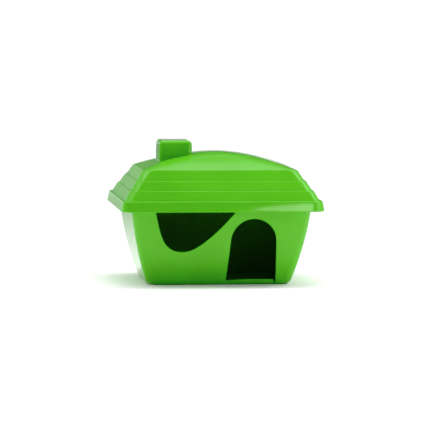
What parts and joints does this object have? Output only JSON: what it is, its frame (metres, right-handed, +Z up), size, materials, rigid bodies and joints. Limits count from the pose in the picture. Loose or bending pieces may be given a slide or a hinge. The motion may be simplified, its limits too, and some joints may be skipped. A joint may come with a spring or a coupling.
{
  "type": "small-rodent house",
  "caption": "Plastic house for a hamster or mouse: tapered tub with an arched door and a curved window, under a lift-off domed roof with a chimney.",
  "frame": {"origin": "middle of the tub's underside, on the ground", "axes": "+Z up, the door and window face -Y, +X to the right as seen from the door side"},
  "size_m": [0.16, 0.114, 0.1116],
  "materials": {
    "green_plastic": "glossy injection-moulded polypropylene, opaque bright green"
  },
  "bodies": {
    "tub": {"base_tub": "green_plastic"},
    "roof": {"roof": "green_plastic"}
  },
  "joints": [
    {"name": "roof_lift", "type": "slide", "parent": "tub", "child": "roof", "axis": [0, 0, 1], "range_m": [0, 0.08]}
  ]
}
